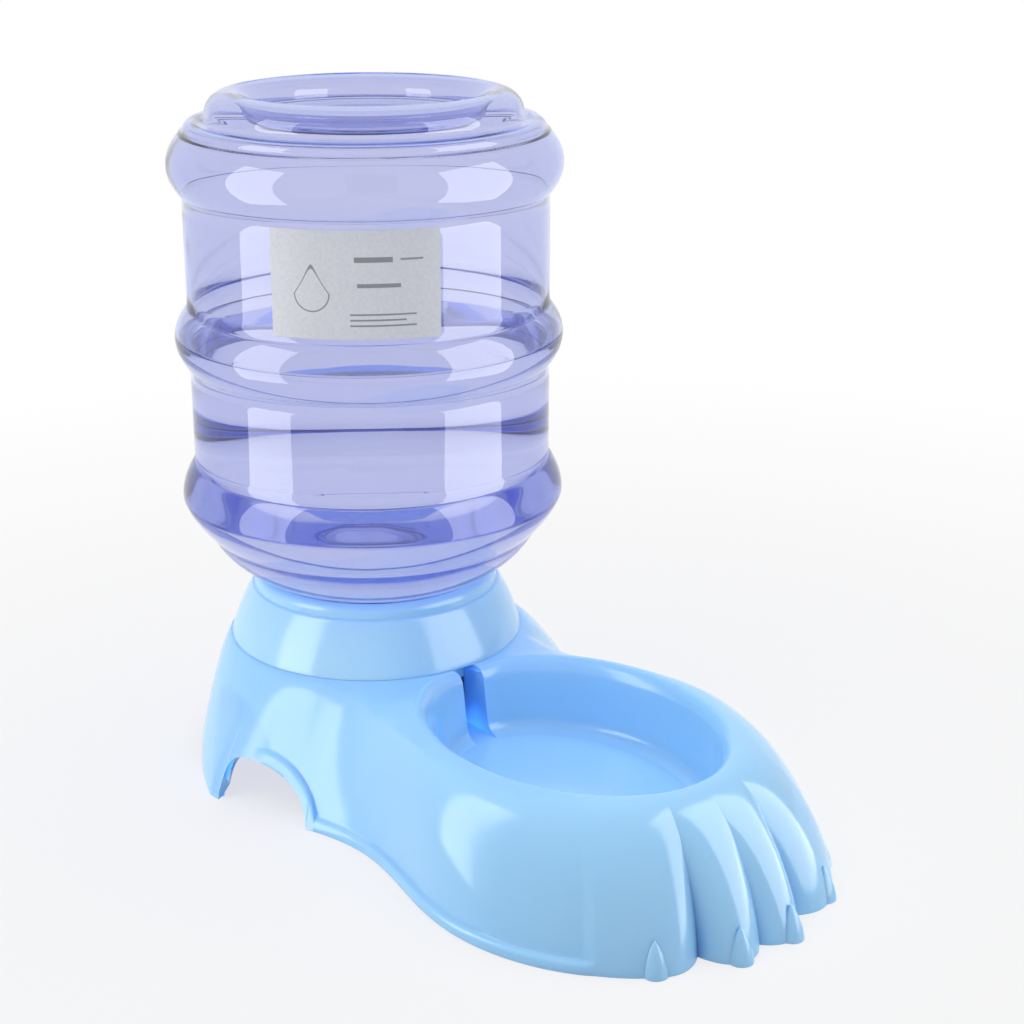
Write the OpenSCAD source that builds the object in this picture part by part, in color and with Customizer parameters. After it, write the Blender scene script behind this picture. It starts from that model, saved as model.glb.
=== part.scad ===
// Gravity pet waterer: an inverted jug on a paw-shaped base with a drinking dish.
// +Z is up, the toes point along -Y, and the object is symmetric about X = 0.
// The origin is on the ground under the middle of the object's outer box.

/* [Base outline] */
// Distance from the jug's axis to the front of the middle claws
front_reach = 253; // [238:1:270]
// Distance from the jug's axis to the back of the skirt
rear_reach = 76; // [72:1:82]
// How far the rear feet stand ahead of the jug's axis
foot_ahead = 14; // [5:1:20]
// Half width over the rear feet
foot_half_w = 97; // [88:0.5:104]
// How far the waist lies ahead of the jug's axis
waist_ahead = 98; // [92:1:106]
// Half width at the waist
waist_half_w = 75.5; // [70:0.5:82]
// How far the widest place of the paw lies ahead of the jug's axis
paw_ahead = 164; // [155:1:172]
// Half width of the paw
paw_half_w = 84.5; // [80:0.5:92]
// Height of the base at the dish's lip and under the collar
base_h = 49.5; // [44:0.5:60]
// Thickness of the base's wall
base_wall = 2.6; // [2:0.1:3]

/* [Base edge and arches] */
// How far the edge lip stands out from the skirt
lip_out = 2.6; // [1.5:0.1:3.5]
// Height of the edge lip, and its width round the arches
lip_h = 4.6; // [3:0.1:6]
// Height of the side arches
arch_h = 19.4; // [15:0.2:24]
// Where a side arch starts, ahead of the jug's axis
arch_start = 20; // [16:0.5:24]
// Where a side arch is highest, ahead of the jug's axis
arch_peak = 34.5; // [30:0.5:42]
// Where a side arch ends, ahead of the jug's axis
arch_end = 65.5; // [55:0.5:75]
// Height of the rear arch
rear_arch_h = 9; // [4:1:20]

/* [Toes] */
// Place of the groove between the middle and the outer toe, from the centre line
groove_x = 26; // [22:0.5:29]
// Outer edge of the outer toe, from the centre line
toe_edge_x = 61; // [56:0.5:64]
// Depth of the groove on the centre line
mid_groove = 6.5; // [3:0.5:8]
// Depth of the grooves between the middle and the outer toes
side_groove = 10.5; // [5:0.5:12]
// How far a claw stands out in front of its toe
claw_out = 2; // [1:0.5:3]
// Height of a claw
claw_h = 13.5; // [8:0.5:15]
// Width of a claw at the ground
claw_w = 10; // [7:0.5:12]

/* [Dish and well] */
// Distance from the jug's axis to the middle of the dish
dish_ahead = 137.8; // [130:0.2:146]
// Half length of the dish at its lip
dish_half_l = 70.6; // [62:0.2:72]
// Half width of the dish at its lip
dish_half_w = 55.2; // [48:0.2:58]
// Height of the dish's floor
dish_floor = 21; // [14:1:28]
// How far the crest of the dish's rim rises above the seam under the collar
crest_up = 2.2; // [0:0.2:4]
// How far the crest lies outside the dish's lip
crest_out = 2.5; // [1:0.5:4]
// Width of the outlet slot between the well and the dish
slot_w = 11; // [8:0.5:14]
// Radius of the well's wall under the collar
well_r = 58; // [55:0.5:60]

// Radius of the post that pushes the valve open
post_r = 3.5; // [2.5:0.1:5]

/* [Collar] */
// Radius of the collar at the seam
collar_r = 64.5; // [63:0.5:66]
// Height of the collar over the seam
collar_h = 28.5; // [26:0.5:34]
// Thickness of the collar's wall
collar_wall = 2.6; // [2:0.1:3]
// Radius of the collar's opening, which the cap passes through
seat_r = 42; // [40.5:0.5:44]
// How far the collar's spigot reaches down into the well
spigot_h = 8; // [4:0.5:12]

/* [Jug] */
// Radius of the jug's body between the rings
body_r = 76.9; // [74:0.1:80]
// How far the rings stand out from the body
ring_out = 5.8; // [3:0.2:8]
// Height of the middle of the bottom ring above the collar's top
low_ring_up = 37; // [35:0.5:40]
// Half height of the bottom ring
low_ring_half = 15; // [13:0.5:17]
// Height of the middle of the middle ring above that of the bottom ring
mid_ring_up = 70; // [62:0.5:76]
// Half height of the middle ring
mid_ring_half = 12.5; // [10:0.5:15]
// Height of the middle of the top ring above that of the middle ring
top_ring_up = 72.5; // [68:0.5:78]
// Half height of the top ring
top_ring_half = 12.5; // [10:0.5:14]
// Height of the jug's top rim above the middle of the top ring
rim_rise = 29.5; // [27:0.5:34]
// Radius of the top rim's crest
rim_r = 56; // [52:0.5:60]
// Thickness of the jug's wall
jug_wall = 1.8; // [1.2:0.1:2.4]
// Outer radius of the jug's neck
neck_r = 33; // [31:0.5:33.5]

/* [Label] */
// Width of the label round the jug
label_w = 68; // [40:1:90]
// Height of the label
label_h = 43; // [30:1:44]
// Direction the label faces, from the toes towards the left side
label_turn = 38.4; // [0:0.1:90]

/* [Cap and valve] */
// How far the cap's underside lies below the top of the base
cap_drop = 9.5; // [8:0.5:12]
// How far the valve's stem stands out below the cap while the post holds the valve open
stem_out = 6.9; // [5:0.1:8]
// Height of the cap
cap_h = 20; // [16:0.5:24]
// Thickness of the cap's wall
cap_wall = 2.6; // [2:0.1:3]
// Pitch of the screw thread
thread_pitch = 5; // [4:0.5:6]
// Turns of the screw thread
thread_turns = 1.5; // [1:0.25:2]
// Thickness of the gasket between the cap and the neck
gasket_t = 1.6; // [1:0.1:2.5]
// Travel of the valve
valve_travel = 6; // [4:0.5:8]
// Radius of the valve's stem
stem_r = 3; // [2:0.1:3.5]
// Radius of the valve's disc
disc_r = 9.5; // [8.8:0.1:10.5]
// Radius of the port in the cap
port_r = 8; // [7:0.1:8.5]
// Thickness of the rubber seal under the disc
seal_t = 1.5; // [1:0.1:2]
// Length of the spring with the valve open
spring_len = 12; // [10:0.5:16]
// Mean radius of the spring
spring_r = 6; // [5:0.1:7]
// Thickness of the spring's wire
wire_d = 0.6; // [0.5:0.1:1]
// Turns of the spring
spring_turns = 6; // [4:0.5:7]

/* [Hidden] */
plastic_blue = [0.62, 0.82, 0.98];
jug_blue = [0.72, 0.74, 0.95, 0.45];
paper_white = [0.93, 0.94, 0.96];
cap_white = [0.9, 0.93, 0.97];
rubber_grey = [0.35, 0.37, 0.4];
steel = [0.75, 0.76, 0.78];

// The base's skirt ends in a ledge that stands out a little past the collar
ledge_r = collar_r + 0.6;
ring_r = body_r + ring_out;
// The jug stands in the collar, so its heights follow from the collar's top
low_ring_z = base_h + collar_h + low_ring_up;
mid_ring_z = low_ring_z + mid_ring_up;
top_ring_z = mid_ring_z + top_ring_up;
cap_z = base_h - cap_drop;
// The post ends just under the stem
stem_z = cap_z - stem_out;
post_h = stem_z - 0.1 - dish_floor;
// The jug's rings stand out further behind than the base does
axis_y = (front_reach - max(rear_reach, ring_r)) / 2;

// ---- Ground outline of the base: half width at a distance s ahead of the jug's axis ----
// The paw's front is half an ellipse that ends just behind the claws' tips
paw_len = front_reach - claw_out - paw_ahead;
function ease(t) = (1 - cos(180 * t)) / 2;
function half_width(s) =
    s < foot_ahead
        ? foot_half_w
    : s < waist_ahead
        ? foot_half_w + (waist_half_w - foot_half_w) * ease((s - foot_ahead) / (waist_ahead - foot_ahead))
    : s < paw_ahead
        ? waist_half_w + (paw_half_w - waist_half_w) * ease((s - waist_ahead) / (paw_ahead - waist_ahead))
    : paw_half_w * sqrt(max(0, 1 - pow((s - paw_ahead) / paw_len, 2)));
// Distance ahead of the jug's axis of the front outline, at a distance x from the centre line
function front_at(x) = paw_ahead + paw_len * sqrt(max(0, 1 - pow(x / paw_half_w, 2)));

// ---- Height of the base's lower edge ----
// A side arch rises steeply over the foot, and its front half is a quarter of an ellipse, which is
// here grown by the lip's width where the lip's upper edge is meant
function side_arch(s, grow = 0) =
    let (u = (s - arch_peak) / (s < arch_peak ? arch_peak - arch_start : arch_end - arch_peak + grow))
    abs(u) >= 1 ? 0
    : (arch_h + grow) * (u < 0 ? pow(1 - pow(-u, 3), 0.2) : sqrt(1 - u * u));
// The rear arch ends this far behind the middle of the feet
rear_arch_back = 22;
function rear_arch(s) =
    let (u = (s + rear_reach) / (rear_reach + foot_ahead - rear_arch_back))
    u >= 1 ? 0 : rear_arch_h * pow(1 - pow(u, 2.5), 0.8);
function edge_z(s) = s < foot_ahead ? rear_arch(s) : side_arch(s);
// The lip starts at the top of the side arch and runs forward to the toes
function lip_at(s) = lip_out * lookup(s, [[arch_peak - 2, 0], [arch_peak + 8, 1]]);
function lip_top(s) = s < arch_peak ? edge_z(s) + lip_h : max(lip_h, side_arch(s, lip_h));

// ---- Toes: how far the surface lies behind the front outline, at x from the centre line ----
toe_edge_in = 0.6;
function toe_curve(u) = pow(abs(u), 2.2);
function toe_inset(x) =
    x < groove_x
        ? let (u = 2 * x / groove_x - 1) toe_curve(u) * (u < 0 ? mid_groove : side_groove)
    : x < toe_edge_x
        ? let (u = 2 * (x - groove_x) / (toe_edge_x - groove_x) - 1)
            toe_curve(u) * (u < 0 ? side_groove : toe_edge_in)
    : lip_out;
function has_lip(g) = g[1] < paw_ahead || g[0] > toe_edge_x;

// ---- Columns of the base's surface: each runs from a ground point to a point of the dish's
// lip or of the ledge under the collar, then down into the dish or the well ----
slot_half = slot_w / 2;
slot_angle = asin(slot_half / ledge_r);
function ledge_angle(g) = atan2(g[0], -g[1]);
function dish_angle(g) = atan2(g[0] / dish_half_w, (dish_ahead - g[1]) / dish_half_l);
function mix(a, b, t) = a + (b - a) * t;

rear_n = 8;
arch_rise_n = 5;
arch_fall_n = 8;
fan_n = 5;
side_n = 5;
lobe_n = 4;
outer_toe_n = 10;
mid_toe_n = 8;
fan_start = waist_ahead - 8;
fan_end = waist_ahead + 8;

function outline_at(s) = [half_width(s), s];
// Behind the feet the outline is a circle that swells out towards each foot
foot_r = norm([foot_half_w, foot_ahead]);
foot_angle = atan2(foot_half_w, -foot_ahead);
g_rear = [for (i = [0:rear_n - 1])
    let (a = foot_angle * i / rear_n, r = mix(rear_reach, foot_r, pow(a / foot_angle, 4)))
    [r * sin(a), -r * cos(a)]];
arch_s = concat([foot_ahead, arch_start],
    [for (i = [1:arch_rise_n]) mix(arch_start, arch_peak, pow(i / arch_rise_n, 2))],
    [for (i = [1:arch_fall_n]) mix(arch_peak, arch_end, sin(90 * i / arch_fall_n))],
    [arch_end + lip_h / 2, arch_end + lip_h, arch_end + 9]);
g_arch = [for (s = arch_s) outline_at(s)];
g_side = [for (i = [0:side_n - 1]) outline_at(mix(fan_end, paw_ahead, i / side_n))];
g_lobe = [for (i = [0:lobe_n - 1])
    let (a = mix(90, asin((toe_edge_x + 1.2) / paw_half_w), i / (lobe_n - 1)))
    [paw_half_w * sin(a), paw_ahead + paw_len * cos(a)]];
toe_x = concat([for (i = [0:outer_toe_n - 1]) mix(toe_edge_x, groove_x, ease(i / outer_toe_n))],
    [for (i = [0:mid_toe_n - 1]) mix(groove_x, 0, ease(i / mid_toe_n))], [0]);
g_toes = [for (x = toe_x) [x, front_at(x)]];

// The wedge between the ledge and the dish is closed by a chord, over which the skirt levels out
last_ledge = ledge_angle(outline_at(fan_start));
first_dish = dish_angle(outline_at(fan_end));
dish_slot_angle = asin(slot_half / dish_half_w);
chord_a = ledge_r * [sin(last_ledge), -cos(last_ledge)];
chord_b = [(dish_half_w + crest_out) * sin(first_dish),
    dish_ahead - (dish_half_l + crest_out) * cos(first_dish)];
// Share of the chord at which the columns that end beside the slot cross it
wedge_share = 0.34;

// A column: [ground point, angle round the ledge or the dish, true for a dish column,
// point of the chord that it crosses]
columns = concat(
    [for (g = concat(g_rear, g_arch)) [g, ledge_angle(g), false]],
    [for (i = [0:fan_n]) let (t = i / fan_n)
        [outline_at(mix(fan_start, waist_ahead - 0.5, t)), mix(last_ledge, 180 - slot_angle, t), false,
            mix(chord_a, chord_b, wedge_share * t)]],
    [for (i = [0:fan_n - 1]) let (t = i / fan_n)
        [outline_at(mix(waist_ahead + 0.5, fan_end, t)), mix(dish_slot_angle, first_dish, t), true,
            mix(chord_a, chord_b, mix(wedge_share, 1, t))]],
    [for (g = concat(g_side, g_lobe, g_toes)) [g, dish_angle(g), true]]);
half_n = len(columns) - 1;
loop_n = 2 * half_n;

// A point of the pocket's outline, at a distance d inside the ledge or the lip
function pocket_at(c, d) =
    c[2]
        ? let (a = dish_half_w - d, b = dish_half_l - d, x = a * sin(c[1]), t = min(1, slot_half / a))
          x < slot_half && c[0][0] > 0 && c[1] < 90
              ? [slot_half, dish_ahead - b * sqrt(1 - t * t)] : [x, dish_ahead - b * cos(c[1])]
        : let (r = ledge_r - d, x = r * sin(c[1]))
          x < slot_half && c[1] > 90 ? [slot_half, sqrt(r * r - slot_half * slot_half)]
              : [x, -r * cos(c[1])];

// The rim's crest rises away from the slot
crest_angle = 30;
function crest(c) = c[2] ? ease(min(1, c[1] / crest_angle)) : 0;
function top_z(c) = base_h + crest_up * crest(c);

// The pocket's profile: [distance inside the lip, height, share of the crest's rise], from the
// lip down to the floor
ledge_w = ledge_r - well_r;
dish_profile = [[1, base_h - 0.5, 0.8], [2.9, base_h - 2, 0.3], [4.2, base_h - 5.5, 0],
    [6.5, dish_floor + 7, 0], [8.6, dish_floor + 2.2, 0], [13, dish_floor, 0]];
well_profile = [[3, base_h, 0], [ledge_w - 0.6, base_h, 0], [ledge_w, base_h - 0.8, 0],
    [ledge_w, dish_floor + 7, 0], [ledge_w + 1, dish_floor + 2, 0], [ledge_w + 5, dish_floor, 0]];

// The skirt's profile between the edge and the lip is a part of a superellipse. Its two
// exponents go from a cone behind and over the feet to a belly round the dish.
skirt_rows = 9;
skirt_end_angle = 80;
function exp_in(c) = lookup(c[0][1], [[-40, 1.0], [60, 1.0], [98, 1.5], [112, 2.0],
    [140, 1.9], [180, 1.7], [210, 1.7], [251, 1.6]]);
function exp_up(c) = lookup(c[0][1], [[-40, 1.4], [34, 1.3], [60, 1.2], [98, 1.6], [112, 2.0],
    [140, 2.2], [180, 1.65], [210, 1.4], [251, 1.35]]);
function skirt_in(c, z, reach) =
    reach * (1 - pow(1 - pow(min(1, z / top_z(c)), exp_up(c)), 1 / exp_in(c)));

// Height of the round on the lip, and of the step above it
lip_round = 1.2;
lip_step = 0.3;
edge_rows = 4;
pocket_rows = len(dish_profile);
lip_row = edge_rows + skirt_rows;
rows = lip_row + 1 + pocket_rows;
function skin_point(c, j) =
    let (g = c[0], t = pocket_at(c, -crest_out * crest(c)), aim = c[3] ? c[3] : t,
        reach = norm(aim - g), dir = (aim - g) / reach,
        lip = has_lip(g), foot = lip ? lip_at(g[1]) : toe_inset(g[0]),
        z0 = edge_z(g[1]), z_lip = lip_top(g[1]), z1 = z_lip + lip_step)
    j < edge_rows
        ? let (out = lip ? foot * [1, 1, 0.65, 0][j] : 0,
               z = [z0, z_lip - lip_round, z_lip - lip_round / 4, z1][j],
               p = g + dir * (foot - out + skirt_in(c, z, reach - foot)))
          [p[0], p[1], z]
    : j < lip_row
        ? let (a0 = asin(pow(z1 / top_z(c), exp_up(c) / 2)),
               a = mix(a0, skirt_end_angle, (j - edge_rows + 1) / skirt_rows),
               z = top_z(c) * pow(sin(a), 2 / exp_up(c)),
               fade = foot * pow(cos(a), lip ? 0.7 : 0.6),
               p = g + dir * (fade + skirt_in(c, z, reach - fade)))
          [p[0], p[1], z]
    : j == lip_row ? [t[0], t[1], top_z(c)]
    : let (k = j - lip_row - 1, q = c[2] ? dish_profile[k] : well_profile[k],
           p = pocket_at(c, q[0]))
      [p[0], p[1], q[1] + q[2] * crest_up * crest(c)];

// Full loop of points for each row: the right side from the back to the front, then the left
function mirrored(p) = [-p[0], p[1], p[2]];
function column(i) = i <= half_n ? i : loop_n - i;
half_grid = [for (j = [0:rows - 1]) [for (c = columns) skin_point(c, j)]];
function grid(j, i) = let (k = (i + loop_n) % loop_n)
    k <= half_n ? half_grid[j][k] : mirrored(half_grid[j][column(k)]);
function unit(v) = v / max(1e-6, norm(v));
// The floor and the wedge are level
function is_level(j, i) =
    j == rows - 1 || (columns[column((i + loop_n) % loop_n)][3] && (j == lip_row || j == lip_row - 1));
function outward(j, i) =
    let (up = grid(min(rows - 1, j + 1), i) - grid(max(edge_rows - 1, j - 1), i),
         along = grid(j, i + 1) - grid(j, i - 1))
    is_level(j, i) ? [0, 0, 1] : unit(cross(along, up));

inner_rows = [edge_rows - 1, edge_rows + 1, edge_rows + 3, edge_rows + 5, edge_rows + 7,
    lip_row - 1, lip_row, lip_row + 2, lip_row + 4, lip_row + 5, rows - 1];
function underside(j, i) = grid(j, i) - base_wall * outward(j, i);

function to_frame(p) = [p[0], axis_y - p[1], p[2]];

module base_skin() {
    outer = [for (j = [0:rows - 1]) for (i = [0:loop_n - 1]) to_frame(grid(j, i))];
    edge = [for (i = [0:loop_n - 1])
        let (p = underside(edge_rows - 1, i)) to_frame([p[0], p[1], grid(0, i)[2]])];
    inner = [for (j = inner_rows) for (i = [0:loop_n - 1]) to_frame(underside(j, i))];
    n = loop_n;
    o1 = rows * n;
    inner_n = len(inner_rows) + 1;
    function next(i) = (i + 1) % n;
    // The diagonals of the left half mirror those of the right half
    function quad(a, b, c, d, i) = i < half_n ? [[a, b, c], [a, c, d]] : [[a, b, d], [b, c, d]];
    faces = concat(
        [for (j = [0:rows - 2]) for (i = [0:n - 1]) for (f = quad(j * n + i, j * n + next(i),
            (j + 1) * n + next(i), (j + 1) * n + i, i)) f],
        [for (j = [0:inner_n - 2]) for (i = [0:n - 1]) for (f = quad(o1 + j * n + next(i),
            o1 + j * n + i, o1 + (j + 1) * n + i, o1 + (j + 1) * n + next(i), i)) f],
        [for (i = [0:n - 1]) for (f = quad(next(i), i, o1 + i, o1 + next(i), i)) f],
        cap((rows - 1) * n, false), cap(o1 + (inner_n - 1) * n, true));
    polyhedron(points = concat(outer, edge, inner), faces = faces, convexity = 8);
}
// Flat floor between the right and the left half of a row that starts at index o
function cap(o, flip) = [for (i = [0:half_n - 1])
    let (r0 = o + i, r1 = o + i + 1, l0 = o + (loop_n - i) % loop_n, l1 = o + loop_n - i - 1)
    for (f = i == 0 ? [[r0, r1, l1]] : i == half_n - 1 ? [[r0, r1, l0]] : [[r0, r1, l1], [r0, l1, l0]])
    flip ? [f[2], f[1], f[0]] : f];

// ---- Claws ----
mid_claw_x = groove_x / 2;
outer_claw_x = (groove_x + toe_edge_x) / 2;
// Radius of a claw's blunt tip, as a share of its width
claw_tip = 0.11;
module claw(x, tip) {
    translate([x, axis_y - tip + claw_w / 2, 0])
        cylinder(h = claw_h, r1 = claw_w / 2, r2 = claw_w * claw_tip, $fn = 32);
}

module base_shell() {
    color(plastic_blue) union() {
        base_skin();
        for (side = [-1, 1]) {
            claw(side * mid_claw_x, front_reach);
            claw(side * outer_claw_x, front_at(outer_claw_x) + claw_out);
        }
        on_axis() translate([0, 0, dish_floor - base_wall / 2])
            cylinder(h = post_h + base_wall / 2, r = post_r, $fn = 64);
    }
}

// Everything round the jug's axis is drawn about Z and put in its place here
module on_axis() { translate([0, axis_y, 0]) children(); }

// ---- Collar: a domed ring that sits on the ledge and carries the jug's shoulder ----
fit_gap = 0.3;
collar_lean = 0.25;
collar_bow = 0.0075;
// The step round the collar's top: its height, how far it lies in, and its round
collar_step_h = 5.5;
collar_step_in = 1.2;
collar_round = 3;
// Height of the flange that hangs down round the opening
seat_flange_h = 4;
step_z = base_h + collar_h - collar_step_h;
function dome_r(z) = let (d = z - base_h) collar_r - collar_lean * d - collar_bow * d * d;
dome_n = 10;
module collar() {
    top = base_h + collar_h;
    dome = [for (i = [0:dome_n]) let (z = mix(base_h, step_z, i / dome_n)) [dome_r(z), z]];
    rim_out = dome_r(step_z) - collar_step_in;
    rim_round = [for (a = [0:15:90])
        [rim_out - collar_round * (1 - cos(a)), top - collar_round * (1 - sin(a))]];
    shoulder = [for (i = [0:6]) let (r = mix(rim_out - collar_round - 1, seat_r, i / 6)) [r, seat_z(r)]];
    under_z = step_z - collar_wall - 0.4;
    under = [for (i = [0:dome_n]) let (z = mix(under_z, base_h + collar_wall, i / dome_n))
        [dome_r(z) - collar_wall, z]];
    spigot_r = well_r - fit_gap;
    color(plastic_blue) on_axis() rotate_extrude($fn = 128) polygon(concat(
        dome, [[rim_out, step_z]], rim_round, shoulder,
        [[seat_r, seat_z(seat_r) - seat_flange_h], [seat_r + collar_wall, seat_z(seat_r) - seat_flange_h],
         [seat_r + collar_wall, under_z]], under,
        [[spigot_r - collar_wall, base_h + collar_wall], [spigot_r - collar_wall, base_h - spigot_h],
         [spigot_r, base_h - spigot_h], [spigot_r, base_h]]));
}

// ---- Jug ----
// The shoulder is a bowl; its radius at a height z
bowl_r = body_r - 1.6;
bowl_top = low_ring_z - 2;
bowl_h = 42;
function bowl_at(z) = bowl_r * pow(1 - pow((bowl_top - z) / bowl_h, 2), 1 / 2.6);
function bowl_z(r) = bowl_top - bowl_h * sqrt(1 - pow(r / bowl_r, 2.6));
// The collar's seat follows the bowl, a small gap below it
function seat_z(r) = bowl_z(r) - 0.5;
function bulge(z, middle, half) =
    let (u = (z - middle) / half) abs(u) >= 1 ? 0 : ring_out * pow(cos(90 * u), 0.8);
// The bottom ring's lower half draws in to meet the bowl
low_start = low_ring_z - low_ring_half;
function draw_in(z) = (body_r - bowl_at(low_start)) * max(0, low_ring_z - z) / low_ring_half;
function wall_r(z) = body_r - draw_in(z) + bulge(z, low_ring_z, low_ring_half)
    + bulge(z, mid_ring_z, mid_ring_half) + bulge(z, top_ring_z, top_ring_half);
function ring_points(middle, half, n) =
    [for (i = [0:n]) let (z = middle - half * cos(180 * i / n)) [wall_r(z), z]];

mouth_z = cap_z + cap_wall + gasket_t;
rim_z = top_ring_z + rim_rise;
// Round between the neck and the bowl
neck_round = 3;
neck_top = bowl_z(neck_r + neck_round);
// The step under the top rim: its round, and how far that lies in and down
step_round = 4.5;
step_in = 6;
step_down = 16;
// The top rim: half width and height of its round, and how far the top is sunk inside it
rim_half_w = 10;
rim_h = 9;
top_sunk = 12.5;
jug_outline = concat(
    [[neck_r, mouth_z], [neck_r, neck_top - neck_round]],
    [for (a = [15:25:90])
        [neck_r + neck_round * (1 - cos(a)), neck_top - neck_round * (1 - sin(a))]],
    [for (i = [1:12]) let (z = mix(neck_top, low_start, pow(i / 12, 1.5))) [bowl_at(z), z]],
    ring_points(low_ring_z, low_ring_half, 14),
    ring_points(mid_ring_z, mid_ring_half, 12),
    ring_points(top_ring_z, top_ring_half, 12),
    [for (a = [0:30:90])
        [body_r - step_in + step_round * cos(a), rim_z - step_down + step_round * sin(a)]],
    [[rim_r + rim_half_w + 0.5, rim_z - rim_h - 2]],
    [for (a = [0:15:165])
        [rim_r + rim_half_w * cos(a) * (a < 90 ? 1 : 0.8), rim_z - rim_h * (1 - sin(a))]],
    [[rim_r - rim_half_w, rim_z - rim_h], [rim_r - rim_half_w - 3, rim_z - top_sunk + 1],
     [0, rim_z - top_sunk]]);
// Inside face of the wall: each point moved in by the wall along the outline's normal
function normal_at(p, i) =
    let (a = p[max(0, i - 1)], b = p[min(len(p) - 1, i + 1)], d = unit(b - a)) [-d[1], d[0]];
jug_inside = [for (i = [0:len(jug_outline) - 2]) jug_outline[i] + jug_wall * normal_at(jug_outline, i)];
module bottle() {
    color(jug_blue) on_axis() {
        rotate_extrude($fn = 160) polygon(concat(jug_outline,
            [[0, rim_z - top_sunk - jug_wall]], [for (i = [len(jug_inside) - 1:-1:1]) jug_inside[i]],
            [[neck_r - jug_wall, mouth_z]]));
        thread(neck_r - 0.3, neck_r + thread_depth, mouth_z + thread_up);
    }
}

label_t = 0.25;
label_gap = 0.05;
module bottle_label() {
    half = label_w / 2 / (body_r * PI / 180);
    mid_z = (mid_ring_z + mid_ring_half + top_ring_z - top_ring_half) / 2;
    color(paper_white) on_axis() rotate([0, 0, -90 - label_turn - half])
        rotate_extrude(angle = 2 * half, $fn = 160)
            translate([body_r + label_gap, mid_z - label_h / 2]) square([label_t, label_h]);
}

// ---- Screw thread: a right-hand ridge, from its root radius to its crest radius ----
thread_depth = 1.4;
thread_steps = 24;
module thread(root, crest, z0) {
    n = round(thread_steps * thread_turns);
    function section(i) =
        let (a = 360 * i / thread_steps, z = z0 + thread_pitch * i / thread_steps,
             e = min(1, min(i, n - i) / 3), c = root + (crest - root) * max(0.25, e),
             dir = [cos(a), sin(a)])
        [[root, -1.0], [c, -0.5], [c, 0.5], [root, 1.0]] * [[dir[0], dir[1], 0], [0, 0, 1]]
            + [for (k = [0:3]) [0, 0, z]];
    points = [for (i = [0:n]) for (p = section(i)) p];
    sides = [for (i = [0:n - 1]) for (k = [0:3])
        let (a = 4 * i + k, b = 4 * i + (k + 1) % 4, c = a + 4, d = b + 4) each [[a, c, d], [a, d, b]]];
    ends = [[0, 1, 2], [0, 2, 3], [4 * n + 2, 4 * n + 1, 4 * n], [4 * n + 3, 4 * n + 2, 4 * n]];
    polyhedron(points, crest < root ? concat(sides, ends)
        : [for (f = concat(sides, ends)) [f[2], f[1], f[0]]], convexity = 4);
}

// ---- Screw cap, with the valve's port and guide in its middle ----
cap_in = neck_r + thread_depth + 0.8;
cap_r = cap_in + cap_wall;
port_wall = 2.5;
port_top = mouth_z + 4.5;
guide_r = stem_r + 0.3;
// The thread's root lies inside the wall, and its facets stay clear of the bore
thread_bury = 1.3;
// Height of the thread's start over the jug's mouth
thread_up = 5.5;
rib_n = 36;
rib_r = 0.9;
guide_h = 4;
guide_wall = 1.8;
spoke_w = 1.6;
module screw_cap() {
    color(cap_white) on_axis() {
        difference() {
            union() {
                translate([0, 0, cap_z]) cylinder(h = cap_h, r = cap_r, $fn = 128);
                for (i = [0:rib_n - 1]) rotate([0, 0, 360 * i / rib_n]) translate([cap_r, 0, cap_z + 2])
                    cylinder(h = cap_h - 4, r = rib_r, $fn = 24);
            }
            translate([0, 0, cap_z + cap_wall]) cylinder(h = cap_h, r = cap_in, $fn = 128);
            translate([0, 0, cap_z - 1]) cylinder(h = cap_h, r = port_r, $fn = 64);
        }
        difference() {
            translate([0, 0, cap_z]) cylinder(h = port_top - cap_z, r = port_r + port_wall, $fn = 64);
            translate([0, 0, cap_z - 1]) cylinder(h = cap_h, r = port_r, $fn = 64);
        }
        difference() {
            union() {
                translate([0, 0, cap_z]) cylinder(h = guide_h, r = guide_r + guide_wall, $fn = 48);
                for (a = [90, 210, 330]) rotate([0, 0, a])
                    translate([guide_r + guide_wall / 2, -spoke_w / 2, cap_z])
                        cube([port_r - guide_r, spoke_w, guide_h]);
            }
            translate([0, 0, cap_z - 1]) cylinder(h = guide_h + 2, r = guide_r, $fn = 48);
        }
        thread(cap_in + thread_bury, cap_in - thread_depth, mouth_z + thread_up - thread_pitch / 2);
    }
}
module ring(r_in, r_out, z, h) {
    translate([0, 0, z]) difference() {
        cylinder(h = h, r = r_out, $fn = 96);
        translate([0, 0, -1]) cylinder(h = h + 2, r = r_in, $fn = 96);
    }
}
module cap_gasket() {
    color(rubber_grey) on_axis() ring(neck_r - 5, cap_in - 0.4, cap_z + cap_wall, gasket_t);
}

// ---- Valve: the post holds its stem up, so the cap sinks and opens the port ----
seal_z = port_top + valve_travel;
disc_z = seal_z + seal_t;
disc_t = 2;
foot_t = 2;
cage_z = disc_z + disc_t + spring_len;
cage_t = 2;
stem_top = cage_z + cage_t + valve_travel + 1.5;
module valve_stem() {
    color(cap_white) on_axis() {
        translate([0, 0, stem_z]) cylinder(h = foot_t, r = stem_r + 2, $fn = 48);
        translate([0, 0, stem_z]) cylinder(h = stem_top - stem_z, r = stem_r, $fn = 48);
        translate([0, 0, disc_z]) cylinder(h = disc_t, r = disc_r, $fn = 64);
    }
}
module valve_seal() {
    color(rubber_grey) on_axis() ring(stem_r, disc_r + 0.5, seal_z, seal_t);
}
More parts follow.
